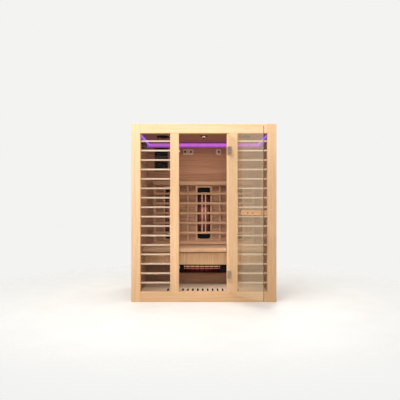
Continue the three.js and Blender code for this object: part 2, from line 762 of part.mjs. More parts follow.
// Control panel on the back wall: a bezel with two windows over one dark glass plate
function buildControlPanel() {
  const left = controlFromCorner - innerHalf;
  const outerX = [left, left + controlWidth];
  const outerZ = [controlBottom, controlTop];
  const outerY = [backInner - controlDepth, backInner];
  const windowX = [outerX[0] + controlMargin, outerX[1] - controlMargin];
  const windowZ = [outerZ[0] + controlMargin, outerZ[1] - controlMargin];
  const barZ = [windowZ[1] - controlKeysHeight - controlBar, windowZ[1] - controlKeysHeight];
  const plateX = [windowX[0] - controlLap, windowX[1] + controlLap];
  const plateZ = [windowZ[0] - controlLap, windowZ[1] + controlLap];
  const plateFront = outerY[0] + controlFace;
  const through = [outerY[0] - cutMargin, outerY[1] + cutMargin];
  const bezel = cut(
    slab(outerX, outerY, outerZ),
    slab(windowX, through, [windowZ[0], barZ[0]]),
    slab(windowX, through, [barZ[1], windowZ[1]]),
    slab(plateX, [plateFront, through[1]], plateZ),
  );
  place('control_bezel', bezel, blackPlastic());
  const glassX = [plateX[0] + rebateGap, plateX[1] - rebateGap];
  const glassZ = [plateZ[0] + rebateGap, plateZ[1] - rebateGap];
  place('control_display', slab(glassX, [plateFront, plateFront + controlGlass], glassZ), blackGlass());
}

// Hook rails on the back wall, one with two pegs and one with a single peg
function buildHookRails() {
  const plateY = [backInner - hookRailThickness, backInner];
  const plateZ = [wallTop - hookRailDrop - hookRailHeight, wallTop - hookRailDrop];
  const pegZ = (plateZ[0] + plateZ[1]) / 2;
  for (const [name, { centre, width, pegs }] of Object.entries(hookRails)) {
    const rail = [slab(around(centre, width), plateY, plateZ)];
    for (let index = 0; index < pegs; index += 1) {
      const axis = [centre + (index - (pegs - 1) / 2) * hookSpacing, pegZ];
      const tip = plateY[0] - pegLength;
      rail.push(rod('y', pegRadius, axis, [tip, plateY[0] + cutMargin]));
      rail.push(rod('y', pegHeadRadius, axis, [tip, tip + pegHeadLength]));
    }
    place(`hook_rail_${name}`, join(...rail), slatTimber());
  }
}

// Round air ioniser on the left wall
function buildIoniser() {
  const axis = [frontFace + ioniserSetback, ledBottom - ioniserFromLed - ioniserRadius];
  const baseEnd = ioniserBase - innerHalf;
  const base = rod('x', ioniserRadius, axis, [-innerHalf, baseEnd], roundSides);
  const cap = rod('x', ioniserCapRadius, axis, [-innerHalf, baseEnd + ioniserCap], roundSides);
  place('air_ioniser', join(base, cap), blackPlastic());
}

buildWalls();
buildFloor();
buildRoof();
buildFront();
buildWindows();
buildDoor();
buildHinges();
buildBench();
buildBackrest();
buildBackHeaters();
buildKickHeater();
buildLightStrip();
buildControlPanel();
buildHookRails();
buildIoniser();

export default cabin;
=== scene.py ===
import json
import math
import bmesh
import bpy
import numpy as np
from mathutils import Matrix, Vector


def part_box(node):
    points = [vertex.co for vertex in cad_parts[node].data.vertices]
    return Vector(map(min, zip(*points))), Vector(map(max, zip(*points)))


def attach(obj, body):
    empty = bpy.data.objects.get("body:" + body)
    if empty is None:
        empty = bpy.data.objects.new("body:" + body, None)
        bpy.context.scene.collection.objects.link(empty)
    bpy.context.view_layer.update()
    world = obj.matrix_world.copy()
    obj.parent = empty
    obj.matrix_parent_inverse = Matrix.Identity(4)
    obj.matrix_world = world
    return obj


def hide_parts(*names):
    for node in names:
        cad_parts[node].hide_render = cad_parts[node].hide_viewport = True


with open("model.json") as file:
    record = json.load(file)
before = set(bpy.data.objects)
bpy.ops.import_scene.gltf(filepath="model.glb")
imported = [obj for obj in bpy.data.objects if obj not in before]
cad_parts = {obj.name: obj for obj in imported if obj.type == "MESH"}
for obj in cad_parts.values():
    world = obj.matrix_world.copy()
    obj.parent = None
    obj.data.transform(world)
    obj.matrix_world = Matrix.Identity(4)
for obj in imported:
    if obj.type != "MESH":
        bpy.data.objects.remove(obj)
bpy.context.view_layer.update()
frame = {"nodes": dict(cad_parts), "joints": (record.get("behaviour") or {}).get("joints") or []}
scene = bpy.context.scene
nodes = frame["nodes"]
rng = np.random.default_rng(11)
box = {name: [np.array(corner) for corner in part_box(name)] for name in nodes}
print("frame loaded:", len(nodes), "nodes")

# The door is worked out closed, about its hinge axis, and turned to where it rests
hinge = frame["joints"][0]
hingeAt = np.array(hinge["pos_m"])
restTurn = math.radians(-hinge["range_deg"][0])
turnMatrix = np.array([[math.cos(restTurn), -math.sin(restTurn), 0],
                       [math.sin(restTurn), math.cos(restTurn), 0],
                       [0, 0, 1]])


def openDoor(points):  # closed door coordinates to the rest pose
    return points @ turnMatrix.T + hingeAt


def meshPoints(mesh):
    points = np.empty(len(mesh.vertices) * 3)
    mesh.vertices.foreach_get("co", points)
    return points.reshape(-1, 3)


def closedBox(name):  # a door node's box with the door closed
    points = (meshPoints(nodes[name].data) - hingeAt) @ turnMatrix
    return points.min(axis=0), points.max(axis=0)


# Colours and shader nodes

plain = (1, 1, 1, 1)  # multiplies a colour and leaves it as it is


def tint(red, green, blue):  # screen values 0 to 255 to a linear colour, by the sRGB curve
    screen = np.array([red, green, blue]) / 255
    linear = np.where(screen <= 0.04045, screen / 12.92, ((screen + 0.055) / 1.055) ** 2.4)
    return (*linear.tolist(), 1.0)


def shaded(colour, share, lift=0.0):  # a colour made darker or lighter
    return tuple(min(1.0, share * part + lift) for part in colour[:3]) + (1.0,)


class Finish:
    def __init__(self, name, sockets):
        self.material = bpy.data.materials.new(name)
        self.material.use_nodes = True
        self.tree = self.material.node_tree
        self.shader = self.tree.nodes["Principled BSDF"]
        for socket, value in sockets.items():
            self.shader.inputs[socket].default_value = value

    def node(self, kind, sockets=None, **settings):
        made = self.tree.nodes.new("ShaderNode" + kind)
        for key, value in settings.items():
            setattr(made, key, value)
        for socket, value in (sockets or {}).items():
            made.inputs[socket].default_value = value
        return made

    def join(self, output, socket):
        self.tree.links.new(output, socket)

    def feed(self, output, socket):  # to a socket of the shader itself
        self.join(output, self.shader.inputs[socket])

    def noise(self, vector, sockets):
        made = self.node("TexNoise", sockets)
        self.join(vector, made.inputs["Vector"])
        return made.outputs["Fac"]

    def stretched(self, vector, scale):
        made = self.node("Mapping", {"Scale": scale})
        self.join(vector, made.inputs["Vector"])
        return made.outputs["Vector"]

    def place(self):  # where a point is on the piece
        return self.node("TexCoord").outputs["Object"]

    def ramp(self, factor, stops):  # stops are (place, colour) pairs
        made = self.node("ValToRGB")
        elements = made.color_ramp.elements
        while len(elements) < len(stops):
            elements.new(0.5)
        for element, (position, colour) in zip(elements, stops):
            element.position = position
            element.color = colour
        self.join(factor, made.inputs["Fac"])
        return made.outputs["Color"]

    def spread(self, factor, low, high):  # 0..1 to low..high
        made = self.node("MapRange", {"To Min": low, "To Max": high})
        self.join(factor, made.inputs["Value"])
        return made.outputs["Result"]

    def blend(self, factor, first, second, how="MIX"):  # a Mix node's sockets 6 and 7 are its two colours
        made = self.node("Mix", data_type="RGBA", blend_type=how)
        for value, socket in ((factor, made.inputs[0]), (first, made.inputs[6]), (second, made.inputs[7])):
            if isinstance(value, (float, tuple)):
                socket.default_value = value
            else:
                self.join(value, socket)
        return made.outputs[2]

    def relief(self, height, strength, distance):
        made = self.node("Bump", {"Strength": strength, "Distance": distance})
        self.join(height, made.inputs["Height"])
        self.feed(made.outputs["Normal"], "Normal")


wood = {"streakScale": (2.2, 60.0, 60.0), "poreScale": (9.0, 420.0, 420.0), "ringScale": (0.55, 5.0, 5.0),
        "ringWave": {"Scale": 2.6, "Distortion": 5.5, "Detail": 3.0, "Detail Scale": 0.8},
        "streakNoise": {"Scale": 1.0, "Detail": 6.0, "Roughness": 0.6},
        "poreNoise": {"Scale": 1.0, "Detail": 3.0, "Roughness": 0.5},
        "ringTint": (0.80, 0.70, 0.58, 1), "ringShare": 0.30, "boardTint": (0.87, 0.85, 0.83, 1),
        "poreTint": (0.86, 0.82, 0.78, 1), "poreShare": 0.6, "poreRelief": (0.22, 0.0006),
        "rough": (0.48, 0.66)}


def timber(name, pale, mid, dark, ringShare=wood["ringShare"]):
    # Softwood: rings round the board's length, long fine grain, and a tone of its own for each board
    made = Finish(name, {})
    grain = made.node("Attribute", attribute_name="grain").outputs["Vector"]
    tone = made.node("Attribute", attribute_name="tone").outputs["Fac"]
    ringWave = made.node("TexWave", wood["ringWave"], wave_type="RINGS", rings_direction="X")
    made.join(made.stretched(grain, wood["ringScale"]), ringWave.inputs["Vector"])
    streak = made.noise(made.stretched(grain, wood["streakScale"]), wood["streakNoise"])
    pore = made.noise(made.stretched(grain, wood["poreScale"]), wood["poreNoise"])
    body = made.ramp(streak, [(0.28, tint(*dark)), (0.50, tint(*mid)), (0.74, tint(*pale))])
    ringTint = made.ramp(ringWave.outputs["Fac"], [(0.35, plain), (0.95, wood["ringTint"])])
    ringed = made.blend(ringShare, body, ringTint, "MULTIPLY")
    boardTint = made.ramp(tone, [(0.0, wood["boardTint"]), (1.0, plain)])
    toned = made.blend(1.0, ringed, boardTint, "MULTIPLY")
    poreTint = made.ramp(pore, [(0.36, wood["poreTint"]), (0.52, plain)])
    made.feed(made.blend(wood["poreShare"], toned, poreTint, "MULTIPLY"), "Base Color")
    made.feed(made.spread(streak, *wood["rough"]), "Roughness")
    made.relief(pore, *wood["poreRelief"])
    return made.material


brushed = {"stretch": (4.0, 4.0, 900.0), "noise": {"Scale": 1.0, "Detail": 2.0}, "shade": 0.72,
           "relief": (0.08, 0.0003)}


def steel(name, screen, rough, stretch=brushed["stretch"]):
    # Brushed metal: fine lines drawn out across one axis
    made = Finish(name, {"Metallic": 1.0})
    colour = tint(*screen)
    brush = made.noise(made.stretched(made.place(), stretch), brushed["noise"])
    made.feed(made.ramp(brush, [(0.3, shaded(colour, brushed["shade"])), (0.7, colour)]), "Base Color")
    made.feed(made.spread(brush, *rough), "Roughness")
    made.relief(brush, *brushed["relief"])
    return made.material


moulding = {"skinNoise": {"Scale": 900.0, "Detail": 2.0}, "cloudNoise": {"Scale": 14.0, "Detail": 3.0},
            "rubbed": 1.5, "rubbedLift": 0.004, "skinStrength": 0.12, "skinDepth": 0.0004,
            "rough": (0.38, 0.55), "gloss": 0.5}


def moulded(name, screen, rough=moulding["rough"], depth=moulding["skinDepth"], gloss=moulding["gloss"]):
    # Moulded plastic: a fine even texture, a little lighter where it is rubbed
    made = Finish(name, {"Specular IOR Level": gloss})
    colour = tint(*screen)
    lighter = shaded(colour, moulding["rubbed"], moulding["rubbedLift"])
    place = made.place()
    skin = made.noise(place, moulding["skinNoise"])
    cloud = made.noise(place, moulding["cloudNoise"])
    made.feed(made.ramp(cloud, [(0.35, colour), (0.8, lighter)]), "Base Color")
    made.feed(made.spread(cloud, *rough), "Roughness")
    made.relief(skin, moulding["skinStrength"], depth)
    return made.material


sheetGlass = {"bend": 1.5, "wipeNoise": {"Scale": 5.0, "Detail": 4.0}, "wipeRough": 0.05, "rough": 0.03}


def glass(name, screen, alpha, rough=sheetGlass["rough"], metal=0.0):
    # Sheet glass seen as a thin film, mirrored where it is coated: faint cloudy wipe marks change its gloss
    made = Finish(name, {"Base Color": tint(*screen), "Alpha": alpha, "IOR": sheetGlass["bend"],
                         "Metallic": metal})
    wipe = made.noise(made.place(), sheetGlass["wipeNoise"])
    made.feed(made.spread(wipe, rough, rough + sheetGlass["wipeRough"]), "Roughness")
    return made.material


glow = {"noise": {"Scale": 60.0, "Detail": 1.0}, "rough": 0.35, "shade": 0.72}


def glowing(name, screen, strength, unlit):
    # Lit diffuser or hot tube: the glow varies a little along it
    made = Finish(name, {"Base Color": tint(*unlit), "Roughness": glow["rough"],
                         "Emission Strength": strength})
    colour = tint(*screen)
    flicker = made.noise(made.place(), glow["noise"])
    made.feed(made.ramp(flicker, [(0.35, shaded(colour, glow["shade"])), (0.62, colour)]), "Emission Color")
    return made.material


led = {"rough": 0.4, "spotNoise": {"Scale": 18.0, "Detail": 1.0}, "spotShare": 0.30}


def ledDiffuser(name, core, body, edge):
    # Lit strip: brightest along the middle of its height and dim at its two edges
    made = Finish(name, {"Base Color": tint(*edge), "Roughness": led["rough"], "Emission Strength": 1.0})
    low, high = box["light_strip"]
    place = made.place()
    parts = made.node("SeparateXYZ")
    off = made.node("Math", {1: float(high[2] + low[2]) / 2}, operation="SUBTRACT")
    size = made.node("Math", operation="ABSOLUTE")
    share = made.node("MapRange", {"From Max": float(high[2] - low[2]) / 2})
    wave = made.node("Math", {1: led["spotShare"]}, operation="MULTIPLY_ADD")
    made.join(place, parts.inputs["Vector"])
    made.join(parts.outputs["Z"], off.inputs[0])
    made.join(off.outputs[0], size.inputs[0])
    made.join(size.outputs[0], share.inputs["Value"])
    made.join(made.noise(place, led["spotNoise"]), wave.inputs[0])
    made.join(share.outputs["Result"], wave.inputs[2])
    stops = [(0.2, tint(*core)), (0.7, tint(*body)), (1.0, tint(*edge))]
    made.feed(made.ramp(wave.outputs[0], stops), "Emission Color")
    return made.material


# Finishes by slot, in screen values. A timber has its pale, middle and dark tone.
bySlot = {
    "frame_timber": {
        "frameTimber": timber("pale_frame_timber", (240, 205, 163), (235, 196, 152), (229, 186, 139), 0.14)},
    "slat_timber": {
        "slatTimber": timber("pale_slat_timber", (248, 228, 206), (242, 217, 192), (231, 201, 170)),
        # The backrest timber is the pale slat timber made darker: painted shade inside the cabin
        "restTimberPaintedShade": timber("backrest_timber_painted_shade", (205, 168, 133), (196, 158, 122), (180, 141, 105)),
        "plateTimber": timber("hook_plate_timber", (240, 214, 192), (232, 203, 179), (216, 184, 158))},
    "wall_timber": {
        "wallTimber": timber("wall_board_timber", (203, 162, 131), (193, 151, 120), (176, 132, 101)),
        # The back wall lining is the wall timber made darker: painted shade at the back of the cabin
        "backTimber": timber("back_wall_timber_painted_shade", (198, 150, 118), (188, 140, 108), (171, 123, 93)),
        "cladding": timber("cladding_timber", (228, 198, 160), (219, 186, 145), (203, 167, 126))},
    "bench_timber": {
        # The floor timber is made paler than the timber around it: painted light on the floor
        "floorTimber": timber("floor_timber_painted_light", (255, 234, 206), (252, 227, 197), (245, 216, 183), 0.16),
        # The kickboard timber is made paler than the bench timber: painted light on the kickboard
        "kickTimberPaintedLight": timber("kickboard_timber_painted_light", (255, 222, 178), (250, 212, 165), (240, 198, 149), 0.16),
        "benchTimber": timber("bench_timber", (221, 187, 153), (212, 176, 140), (196, 156, 119)),
        # The rebate's dark timber is a painted shadow line under the nosing
        "rebatePaintedShadow": timber("rebate_painted_shadow", (132, 88, 56), (118, 76, 46), (100, 62, 36))},
    "handle_timber": {
        "handleTimber": timber("handle_timber", (228, 184, 140), (220, 173, 127), (203, 152, 105))},
    "clear_glass": {
        # The door glass's gloss and metallic half are real reflection; its cream colour is a painted
        # reflection, a veil of haze
        "doorGlassPaintedReflection": glass("door_glass", (242, 219, 184), 0.17, metal=0.5),
        "windowGlass": glass("window_glass", (40, 34, 26), 0.08),
        "glassEdge": glass("glass_edge", (74, 88, 76), 0.85, 0.12)},
    "steel": {
        "hingeSteel": steel("brushed_hinge_steel", (214, 194, 168), (0.30, 0.48)),
        "boltSteel": steel("dark_bolt_steel", (120, 92, 74), (0.35, 0.5)),
        "lampBronze": steel("lamp_bronze", (112, 78, 58), (0.28, 0.45)),
        "guardWire": steel("guard_wire_steel", (56, 30, 24), (0.4, 0.6), (40.0, 40.0, 40.0)),
        "reflector": steel("heater_reflector", (172, 118, 104), (0.30, 0.46), (900.0, 900.0, 3.0)),
        "troughSteel": steel("kick_trough_steel", (128, 66, 52), (0.32, 0.5), (3.0, 900.0, 900.0))},
    "black_plastic": {
        "blackPlastic": moulded("black_moulding", (9, 7, 7), gloss=0.10),
        "ioniserPlastic": moulded("ioniser_moulding", (112, 90, 76), (0.35, 0.5)),
        "heaterMat": moulded("foot_heater_mat", (16, 9, 7), (0.6, 0.8), gloss=0.08),
        "pegTimber": timber("dark_peg_timber", (96, 66, 46), (74, 48, 33), (52, 32, 22))},
    "bezel_plastic": {"bezelPlastic": moulded("bezel_moulding", (62, 54, 50))},
    "black_glass": {
        "panelGlass": moulded("black_panel_glass", (9, 6, 8), (0.30, 0.38), depth=0.00001, gloss=0.08)},
    "white_plastic": {
        "catchPlastic": moulded("catch_moulding", (178, 152, 134), (0.4, 0.55)),
        "whitePlastic": moulded("white_moulding", (228, 222, 214), (0.35, 0.5)),
        "lampGlow": glowing("lamp_diffuser", (250, 222, 208), 0.72, (226, 204, 190))},
    "violet_light": {
        "violetGlow": ledDiffuser("violet_diffuser", (192, 106, 202), (166, 80, 188), (128, 60, 148)),
        "sideGlow": ledDiffuser("blue_violet_diffuser", (176, 122, 240), (146, 92, 216), (112, 66, 176))},
    "heater_tube": {
        "kickGlow": glowing("hot_kick_tube", (244, 176, 144), 0.86, (120, 60, 46)),
        "kickGlowDim": glowing("warm_kick_tube", (196, 116, 96), 0.62, (110, 58, 48)),
        "backGlow": glowing("warm_back_tube", (250, 200, 180), 0.34, (206, 160, 142))},
}
finishes = {finish: material for group in bySlot.values() for finish, material in group.items()}
print("finishes made:", len(finishes))


# Boxes, profiles and faces. Axes are 0 for X, 1 for Y and 2 for Z.

def put(corner, axis, values):  # copies of a corner, one for each value on an axis
    corners = np.tile(np.ravel(corner).astype(float), (np.size(values), 1))
    corners[:, axis] = values
    return corners


def spaced(low, high, axis, middles, half):  # equal boxes about places on one axis
    return put(low, axis, middles - half), put(high, axis, middles + half)


def ends(low, high, axis, width):  # a box at each end of a longer one
    return put(low, axis, [low[axis], high[axis] - width]), put(high, axis, [low[axis] + width, high[axis]])


leastBoard = 0.004  # less than this left over makes no board of its own


def stack(low, high, axis, pitch):  # boxes side by side, a pitch apart, the last one cut to what is left
    starts = np.arange(low[axis], high[axis] - leastBoard, pitch)
    return put(low, axis, starts), put(high, axis, np.minimum(starts + pitch, high[axis]))


def row(count, pitch):  # places a pitch apart, about 0
    return (np.arange(count) - (count - 1) / 2) * pitch


def outline(*groups):  # each group adds (radius, height) pairs to a radius and a level
    return np.vstack([np.array(pairs) + (radius, level) for radius, level, pairs in groups])


def ripple(first, last, count, level, height):  # rings from one radius to another that rise and fall
    return np.column_stack([np.linspace(first, last, count), level + height * (np.arange(count) % 2)])


def ringFaces(count, rings, sides):  # faces from each ring of points to the next, on each of count pieces
    here = np.arange(sides)
    after = (here + 1) % sides
    start = ((np.arange(count) * rings)[:, None] + np.arange(rings - 1)) * sides
    quads = np.stack([here, after, after + sides, here + sides], axis=-1)
    return (start.reshape(-1, 1, 1) + quads).reshape(-1, 4)


# Surfaces

def makeMesh(name, points, faces):
    mesh = bpy.data.meshes.new(name)
    mesh.from_pydata(points.tolist(), [], faces)
    mesh.polygons.foreach_set("use_smooth", [True] * len(mesh.polygons))
    mesh.update()
    return mesh


def paint(mesh, grain, tone):  # each point's place in the grain, and its tone
    mesh.attributes.new("grain", "FLOAT_VECTOR", "POINT").data.foreach_set("vector", np.ravel(grain))
    mesh.attributes.new("tone", "FLOAT", "POINT").data.foreach_set("value", np.ravel(tone))


def addObject(name, data):
    made = bpy.data.objects.new(name, data)
    scene.collection.objects.link(made)
    return made


def addPiece(name, mesh, finish, node=None, body="cabin"):  # node is the CAD piece that it stands for
    piece = addObject(name, mesh)
    mesh.materials.append(finishes[finish])
    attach(piece, body)
    if node:
        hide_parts(node)
    return piece


def dress(node, finish):  # a CAD piece that is seen as it is
    nodes[node].data.materials.clear()
    nodes[node].data.materials.append(finishes[finish])


def thicken(piece, thickness, offset):
    skin = piece.modifiers.new("sheet", "SOLIDIFY")
    skin.thickness = thickness
    skin.offset = offset


board = {"lastTurn": math.radians(82), "mostRound": 0.98, "grainShift": 3}


def boards(name, lows, highs, along, arris, finish, node=None, body="cabin", steps=2):
    # Boards with rounded arrises. The section is a rectangle with quarter-circle corners, swept along the
    # length, and it draws in by another quarter circle at each end. Those of the door are given closed.
    low = np.atleast_2d(np.asarray(lows, float))
    high = np.atleast_2d(np.asarray(highs, float))
    count = len(low)
    across, deep = (along + 1) % 3, (along + 2) % 3
    half = (high - low) / 2
    middle = (high + low) / 2
    radius = np.minimum(arris, half.min(axis=1) * board["mostRound"])[:, None, None]
    quarter = np.linspace(0, np.pi / 2, steps + 1)
    angle = (np.arange(4)[:, None] * np.pi / 2 + quarter).ravel()
    signAcross = np.repeat([1, -1, -1, 1], steps + 1)
    signDeep = np.repeat([1, 1, -1, -1], steps + 1)
    ending = np.linspace(0, board["lastTurn"], steps + 1)
    lean = np.concatenate([ending[::-1], ending])[None, :, None]
    end = np.repeat([-1, 1], steps + 1)[None, :, None]
    rings, section = 2 * (steps + 1), 4 * (steps + 1)
    local = np.empty((count, rings, section, 3))
    drawn = radius * np.cos(lean)
    local[..., across] = signAcross * (half[:, across, None, None] - radius) + drawn * np.cos(angle)
    local[..., deep] = signDeep * (half[:, deep, None, None] - radius) + drawn * np.sin(angle)
    local[..., along] = end * (half[:, along, None, None] - radius * (1 - np.sin(lean)))
    points = (local + middle[:, None, None, :]).reshape(-1, 3)
    cap = np.arange(section)
    firstCaps = (np.arange(count) * rings * section)[:, None] + cap[::-1]
    lastCaps = firstCaps[:, ::-1] + (rings - 1) * section
    faces = ringFaces(count, rings, section).tolist() + firstCaps.tolist() + lastCaps.tolist()

    shift = rng.uniform(-board["grainShift"], board["grainShift"], (count, 1, 1, 3))
    grain = np.stack([local[..., along], local[..., across], local[..., deep]], axis=-1) + shift
    tone = np.broadcast_to(rng.uniform(0, 1, count)[:, None, None], (count, rings, section))

    lean = np.where(lean < board["lastTurn"], lean, np.pi / 2)  # the ends face straight out
    facing = np.empty_like(local)
    facing[..., across] = np.cos(lean) * np.cos(angle)
    facing[..., deep] = np.cos(lean) * np.sin(angle)
    facing[..., along] = end * np.sin(lean)
    facing = facing.reshape(-1, 3)
    if body == "door":
        points = openDoor(points)
        facing = facing @ turnMatrix.T
    mesh = makeMesh(name, points, faces)
    paint(mesh, grain, tone)
    mesh.normals_split_custom_set_from_vertices(facing.tolist())
    addPiece(name, mesh, finish, node, body)


lathe = {"merge": 1e-6, "crease": math.radians(40), "tone": 0.5}


def turned(name, profile, at, axis, finish, node=None, body="cabin", *, sides):
    # Turned pieces: a profile of (radius, height) points carried round an axis, with a flat disc at each end.
    # Those of the door are given closed.
    radius, height = np.asarray(profile, float).T
    angle = np.linspace(0, 2 * np.pi, sides, endpoint=False)
    first, second = (axis + 1) % 3, (axis + 2) % 3
    points = np.empty((len(radius), sides, 3))
    points[..., first] = at[first] + radius[:, None] * np.cos(angle)
    points[..., second] = at[second] + radius[:, None] * np.sin(angle)
    points[..., axis] = at[axis] + height[:, None]
    points = points.reshape(-1, 3)
    if body == "door":
        points = openDoor(points)
    disc = np.arange(sides)
    discs = [disc[::-1].tolist(), (disc + (len(radius) - 1) * sides).tolist()]
    mesh = makeMesh(name, points, ringFaces(1, len(radius), sides).tolist() + discs)
    paint(mesh, points, np.full(len(points), lathe["tone"]))
    shape = bmesh.new()
    shape.from_mesh(mesh)
    bmesh.ops.remove_doubles(shape, verts=shape.verts, dist=lathe["merge"])
    bmesh.ops.recalc_face_normals(shape, faces=shape.faces)
    shape.to_mesh(mesh)
    shape.free()
    mesh.set_sharp_from_angle(angle=lathe["crease"])
    addPiece(name, mesh, finish, node, body)


soft = {"merge": 1e-5, "flat": math.radians(2), "crease": math.radians(35), "segments": 2, "tone": 0.6}


def softened(node, width, finish, body="cabin"):
    # A CAD shape kept as it is, merged to whole faces, with its sharp edges rounded. Its grain runs along X.
    source = nodes[node].data
    corners = np.empty(len(source.loops), int)
    source.loops.foreach_get("vertex_index", corners)
    mesh = makeMesh("soft_" + node, meshPoints(source), corners.reshape(-1, 3).tolist())
    shape = bmesh.new()
    shape.from_mesh(mesh)
    bmesh.ops.remove_doubles(shape, verts=shape.verts, dist=soft["merge"])
    bmesh.ops.dissolve_limit(shape, angle_limit=soft["flat"], verts=shape.verts, edges=shape.edges)
    shape.to_mesh(mesh)
    shape.free()
    paint(mesh, meshPoints(mesh), np.full(len(mesh.vertices), soft["tone"]))
    mesh.polygons.foreach_set("use_smooth", [True] * len(mesh.polygons))
    mesh.set_sharp_from_angle(angle=soft["crease"])
    bevel = addPiece("soft_" + node, mesh, finish, node, body).modifiers.new("arris", "BEVEL")
    bevel.width = width
    bevel.segments = soft["segments"]
    bevel.limit_method = "ANGLE"
    bevel.angle_limit = soft["crease"]
    bevel.harden_normals = True


sheetThick = 0.0008


def bentSheet(name, low, high, sag, across, steps, finish):
    # A bent sheet: a fourth-power trough, y = low y + sag * (1 - (2u - 1) ** 4) with u from 0 to 1 across, so
    # that it is flat behind its tubes. It is carried straight along the third axis.
    along = 2 - across
    share = np.linspace(0, 1, steps + 1)
    grid = np.empty((2, steps + 1, 3))
    grid[..., across] = low[across] + (high[across] - low[across]) * share
    grid[..., 1] = low[1] + sag * (1 - (2 * share - 1) ** 4)
    grid[..., along] = np.array([low[along], high[along]])[:, None]
    faces = ringFaces(1, 2, steps + 1)[:-1]  # open, so without the last face
    if across == 2:
        faces = faces[:, ::-1]
    mesh = makeMesh(name, grid.reshape(-1, 3), faces.tolist())
    thicken(addPiece(name, mesh, finish), sheetThick, offset=-1.0)


# Walls, ceiling, roof and floor

shell = {"plank": 0.089, "arris": 0.0032, "edgeStrip": 0.012, "stripArris": 0.0012, "roofBoard": 0.012,
         "roofArris": 0.0016, "roofSkirt": 0.040, "skirtArris": 0.002, "packingArris": 0.001,
         "floorArris": 0.002}

for name, along, thick, inside in (("left_wall", 1, 0, 1), ("right_wall", 1, 0, 0), ("back_wall", 0, 1, 0)):
    low, high = box[name]  # inside is 1 where the room is on the plus side
    middle = (low[thick] + high[thick]) / 2
    roomLow, roomHigh, outLow, outHigh = low.copy(), high.copy(), low.copy(), high.copy()
    (roomLow if inside else roomHigh)[thick] = middle
    (outHigh if inside else outLow)[thick] = middle
    lining = "wallTimber"
    if name == "back_wall":  # strips cover the ends of this lining
        # this lining is darker, with painted shade
        lining = "backTimber"
        boards("corner_strips", *ends(roomLow, roomHigh, 0, shell["edgeStrip"]), 2, shell["stripArris"],
               "cladding")
        roomLow[0] += shell["edgeStrip"]
        roomHigh[0] -= shell["edgeStrip"]
    boards("lining_" + name, *stack(roomLow, roomHigh, 2, shell["plank"]), along, shell["arris"], lining,
           name, steps=1)
    boards("cladding_" + name, *stack(outLow, outHigh, 2, shell["plank"]), along, shell["arris"],
           "cladding", steps=1)

ceilingLow, ceilingHigh = box["ceiling_panel"]
betweenLow = ceilingLow + np.array([shell["edgeStrip"], 0, 0])
betweenHigh = ceilingHigh - np.array([shell["edgeStrip"], shell["edgeStrip"], 0])
boards("boards_ceiling", *stack(betweenLow, betweenHigh, 1, shell["plank"]), 0, shell["arris"], "wallTimber",
       "ceiling_panel", steps=1)

# The roof is boards on a skirt, which is open at the front and packed round the mains inlet
roofLow, roofHigh = box["roof_cover"]
inletLow, inletHigh = box["mains_inlet"]
skirtTop = roofHigh[2] - shell["roofBoard"]
skirtLeft, skirtRight = roofLow[0] + shell["roofSkirt"], roofHigh[0] - shell["roofSkirt"]
skirtHigh = put(roofHigh, 2, skirtTop)
rearLow = put(roofLow, 1, roofHigh[1] - shell["roofSkirt"])
boards("boards_roof", *stack(put(roofLow, 2, skirtTop)[0], roofHigh, 1, shell["plank"]), 0,
       shell["roofArris"], "cladding", "roof_cover", steps=1)
boards("roof_skirt_left", roofLow, put(skirtHigh, 0, skirtLeft), 1, shell["skirtArris"], "cladding")
boards("roof_skirt_right", put(roofLow, 0, skirtRight), skirtHigh, 1, shell["skirtArris"], "cladding")
boards("roof_skirt_rear", put(rearLow, 0, [skirtLeft, inletHigh[0]]),
       put(skirtHigh, 0, [inletLow[0], skirtRight]), 0, shell["skirtArris"], "cladding")
boards("roof_inlet_packing", put(put(rearLow, 0, inletLow[0]), 2, [roofLow[2], inletHigh[2]]),
       put(put(skirtHigh, 0, inletHigh[0]), 2, [inletLow[2], skirtTop]), 0, shell["packingArris"],
       "cladding")

for name in ("floor_board_front", "floor_board_rear"):
    boards("boards_" + name, *stack(*box[name], 1, shell["plank"]), 0, shell["floorArris"], "floorTimber",
           name, steps=1)

grille = {"arris": 0.0016, "slotWidth": 0.019, "slotLength": 0.180, "slotPitch": 0.057, "rowOffset": -0.013,
          "rowWidth": 0.830, "linerGap": 0.0003, "linerThick": 0.0006, "linerDrop": 0.0008,
          "linerLift": 0.0005, "linerSides": 32}

softened("foot_grille", grille["arris"], "floorTimber")

# Slot liners: each is an upright band whose outline is two half circles joined by straight sides. Their dark
# colour is painted shade inside the slots
low, high = box["foot_grille"]
sides = grille["linerSides"]
slotCount = int((grille["rowWidth"] - grille["slotWidth"]) / grille["slotPitch"]) + 1
slotX = grille["rowOffset"] + row(slotCount, grille["slotPitch"])
bandTurn = np.linspace(0, 2 * np.pi, sides, endpoint=False) + np.pi / sides
bandRadius = grille["slotWidth"] / 2 - grille["linerGap"]
bandReach = np.sign(np.sin(bandTurn)) * (grille["slotLength"] - grille["slotWidth"]) / 2
bands = np.empty((slotCount, 2, sides, 3))
bands[..., 0] = slotX[:, None, None] + bandRadius * np.cos(bandTurn)
bands[..., 1] = (low[1] + high[1]) / 2 + bandReach + bandRadius * np.sin(bandTurn)
bands[..., 2] = np.array([low[2] + grille["linerLift"], high[2] - grille["linerDrop"]])[None, :, None]
linerFaces = ringFaces(slotCount, 2, sides)[:, ::-1].tolist()
liners = addPiece("slot_liners_painted_shade", makeMesh("slot_liners_painted_shade", bands.reshape(-1, 3), linerFaces), "heaterMat")
thicken(liners, grille["linerThick"], offset=1.0)
print("shell boards made")


# Front frame and windows

front = {"arris": 0.0024, "slatPitch": 0.101, "slatHeight": 0.018, "slatRise": 0.0055, "slatArris": 0.0035,
         "slatHouse": 0.010}

for name, along in (("front_post_left", 2), ("front_post_right", 2), ("front_top_rail", 0),
                    ("front_bottom_rail", 0), ("mullion_left", 2), ("mullion_right", 2), ("hinge_jamb", 2)):
    boards("timber_" + name, *box[name], along, front["arris"], "frameTimber", name)

